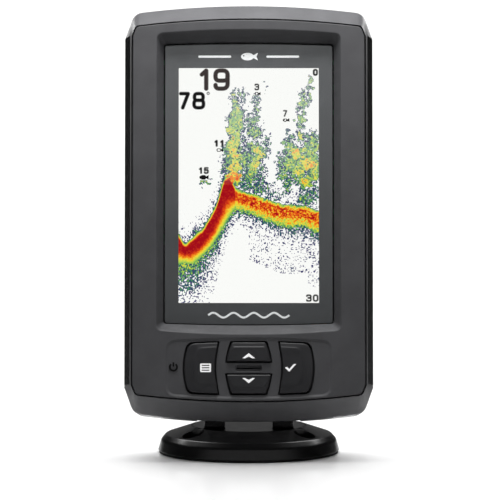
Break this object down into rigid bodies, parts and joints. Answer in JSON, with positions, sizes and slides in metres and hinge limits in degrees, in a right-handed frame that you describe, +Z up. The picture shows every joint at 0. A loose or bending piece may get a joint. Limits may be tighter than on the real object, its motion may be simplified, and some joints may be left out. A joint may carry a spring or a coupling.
{
  "type": "fish finder",
  "caption": "Portrait fish finder with a colour display and keypad on a tilting, swivelling quick-release stand with a round base.",
  "frame": {"origin": "centre of the stand's underside, on the swivel axis", "axes": "+Z up along the swivel axis, the display faces -Y and leans back 13 degrees, +X to the right as seen from the front"},
  "size_m": [0.0984, 0.0735, 0.1768],
  "materials": {
    "satin_case": "satin grey, fine moulded grain",
    "key_plastic": "dark satin",
    "gloss_black": "gloss black",
    "moulded_black": "moulded black",
    "seal_rubber": "matt",
    "cable_black": "satin",
    "lens_clear": "clear, hard coated",
    "printed_film": "printed grey",
    "picture": "lit picture",
    "diffuser_white": "milky",
    "steel": "plain",
    "brass": "plain",
    "circuit_green": "solder mask",
    "flex_amber": "polyimide"
  },
  "bodies": {
    "base": {"base_plate": "gloss_black", "base_pad": "seal_rubber"},
    "turret": {"swivel_turret": "gloss_black", "tilt_bolt": "steel", "tilt_nut": "steel", "tilt_washer_left": "seal_rubber", "tilt_washer_right": "seal_rubber", "swivel_ring": "steel", "ring_screw_1": "steel", "ring_screw_2": "steel", "ring_screw_3": "steel", "wave_washer": "steel"},
    "head": {"front_bezel": "satin_case", "rear_housing": "satin_case", "side_grip_right": "gloss_black", "side_grip_left": "gloss_black", "docking_rail": "moulded_black", "cradle": "moulded_black", "power_socket": "moulded_black", "transducer_socket": "moulded_black", "buzzer": "moulded_black", "housing_gasket": "seal_rubber", "lens_gasket": "seal_rubber", "keypad_membrane": "seal_rubber", "power_lead": "cable_black", "transducer_lead": "cable_black", "display_lens": "lens_clear", "lens_mask": "printed_film", "lcd_panel": "picture", "backlight": "diffuser_white", "lcd_frame": "steel", "shield_can": "steel", "latch_pin": "steel", "latch_spring": "steel", "case_screw_1": "steel", "case_screw_2": "steel", "case_screw_3": "steel", "case_screw_4": "steel", "case_screw_5": "steel", "case_screw_6": "steel", "rail_screw_1": "steel", "rail_screw_2": "steel", "menu_key_switch": "steel", "up_key_switch": "steel", "down_key_switch": "steel", "enter_key_switch": "steel", "power_socket_nut": "brass", "transducer_socket_nut": "brass", "main_board": "circuit_green", "keypad_board": "circuit_green", "lcd_ribbon": "flex_amber", "board_ribbon": "flex_amber"},
    "latch": {"latch_lever": "gloss_black"},
    "menu_key_body": {"menu_key": "key_plastic"},
    "up_key_body": {"up_key": "key_plastic"},
    "down_key_body": {"down_key": "key_plastic"},
    "enter_key_body": {"enter_key": "key_plastic"}
  },
  "joints": [
    {"name": "swivel", "type": "hinge", "parent": "base", "child": "turret", "pos_m": [0, 0, 0.0108], "axis": [0, 0, 1], "range_deg": [-90, 90]},
    {"name": "tilt", "type": "hinge", "parent": "turret", "child": "head", "pos_m": [0, 0, 0.038], "axis": [1, 0, 0], "range_deg": [-30, 8]},
    {"name": "latch_press", "type": "hinge", "parent": "head", "child": "latch", "pos_m": [0, 0.00044, 0.0577], "axis": [1, 0, 0], "range_deg": [0, 5.5], "deforming": ["latch_spring"]},
    {"name": "menu_key_press", "type": "slide", "parent": "head", "child": "menu_key_body", "axis": [0, 0.9744, -0.225], "range_m": [0, 0.0008]},
    {"name": "up_key_press", "type": "slide", "parent": "head", "child": "up_key_body", "axis": [0, 0.9744, -0.225], "range_m": [0, 0.0008]},
    {"name": "down_key_press", "type": "slide", "parent": "head", "child": "down_key_body", "axis": [0, 0.9744, -0.225], "range_m": [0, 0.0008]},
    {"name": "enter_key_press", "type": "slide", "parent": "head", "child": "enter_key_body", "axis": [0, 0.9744, -0.225], "range_m": [0, 0.0008]}
  ]
}
